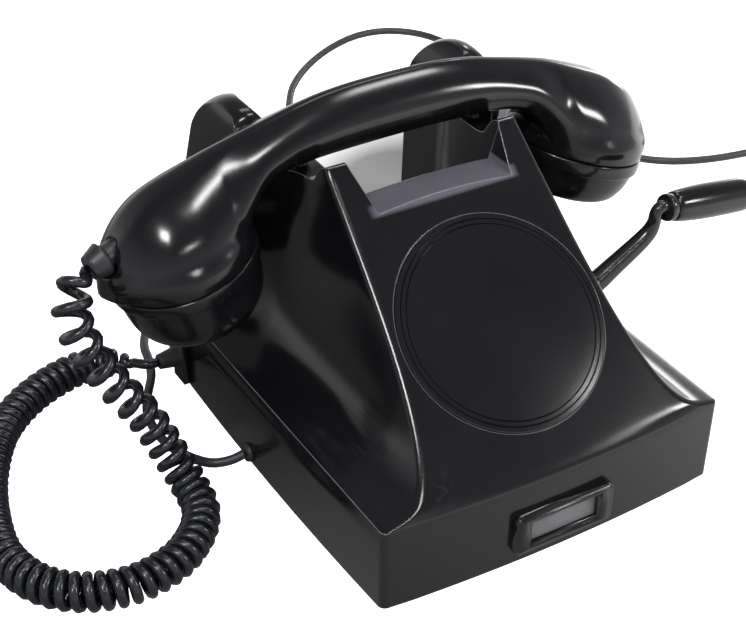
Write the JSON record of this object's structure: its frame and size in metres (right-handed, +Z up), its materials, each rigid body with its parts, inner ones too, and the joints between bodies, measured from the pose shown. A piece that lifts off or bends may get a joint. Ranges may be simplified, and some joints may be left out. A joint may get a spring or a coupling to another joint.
{
  "type": "hand-crank telephone",
  "caption": "Desk telephone with a sloping moulded case, blank round cover, handset on a saddle with rear horns, side crank turning a magneto, coiled handset cord and line cord.",
  "frame": {"origin": "centre of the bounding box of the telephone without its cords, on the table under the feet", "axes": "+X to the right seen from the front (the crank side), +Y to the back, +Z up"},
  "size_m": [0.6023, 0.4344, 0.145],
  "materials": {
    "bakelite": "glossy",
    "rubber": "matt",
    "cord": "satin",
    "steel": "satin",
    "iron": "matt",
    "brass": "satin",
    "winding": "satin",
    "card": "matt",
    "window": "glossy",
    "board": "matt"
  },
  "bodies": {
    "base": {"case_shell": "bakelite", "base_plate": "steel", "rubber_feet": "rubber", "case_screws": "steel", "round_cover": "bakelite", "cover_ring": "steel", "label_frame": "bakelite", "label_card": "card", "label_window": "window", "crank_bush": "brass", "magneto_frame": "steel", "magneto_magnets": "iron", "hook_contacts": "brass", "ringer_coils": "winding", "gongs": "brass", "gong_posts": "steel", "induction_coil": "board", "capacitor": "steel", "terminal_board": "board", "terminal_screws": "brass", "cord_boot": "rubber", "line_gland": "rubber", "handset_cord": "cord", "line_cord": "cord", "line_coil": "cord", "line_plug": "bakelite", "plug_pins": "brass"},
    "crank": {"crank_shaft": "steel", "drive_gear": "brass", "crank_arm": "steel", "knob_pin": "steel"},
    "knob": {"crank_knob": "bakelite"},
    "armature": {"armature_core": "winding", "armature_pinion": "steel"},
    "plungers": {"cradle_plungers": "bakelite"},
    "clapper": {"clapper": "steel"},
    "handset": {"handset_shell": "bakelite", "mouthpiece_cap": "bakelite", "earpiece_cap": "bakelite", "transmitter_capsule": "steel", "receiver_capsule": "steel", "handset_grommet": "rubber"}
  },
  "joints": [
    {"name": "crank_turn", "type": "hinge", "parent": "base", "child": "crank", "pos_m": [0.0502, -0.0264, 0.0615], "axis": [1, 0, 0], "continuous": true},
    {"name": "knob_spin", "type": "hinge", "parent": "crank", "child": "knob", "pos_m": [0.0922, -0.03003, 0.09027], "axis": [0.989, 0.0185, -0.1466], "continuous": true},
    {"name": "armature_turn", "type": "hinge", "parent": "base", "child": "armature", "pos_m": [-0.0018, -0.0264, 0.0399], "axis": [1, 0, 0], "continuous": true},
    {"name": "handset_lift", "type": "slide", "parent": "base", "child": "handset", "axis": [0, 0, 1], "range_m": [0, 0.09]},
    {"name": "hook_travel", "type": "slide", "parent": "base", "child": "plungers", "axis": [0, 0, 1], "range_m": [0, 0.0045]},
    {"name": "clapper_swing", "type": "hinge", "parent": "base", "child": "clapper", "pos_m": [-0.0018, 0.0366, 0.0175], "axis": [0, 0, 1], "range_deg": [-3, 3]}
  ],
  "couplings": [
    {"joint": "armature_turn", "follows": "crank_turn", "ratio": -4},
    {"joint": "hook_travel", "follows": "handset_lift", "ratio": 0.05}
  ]
}
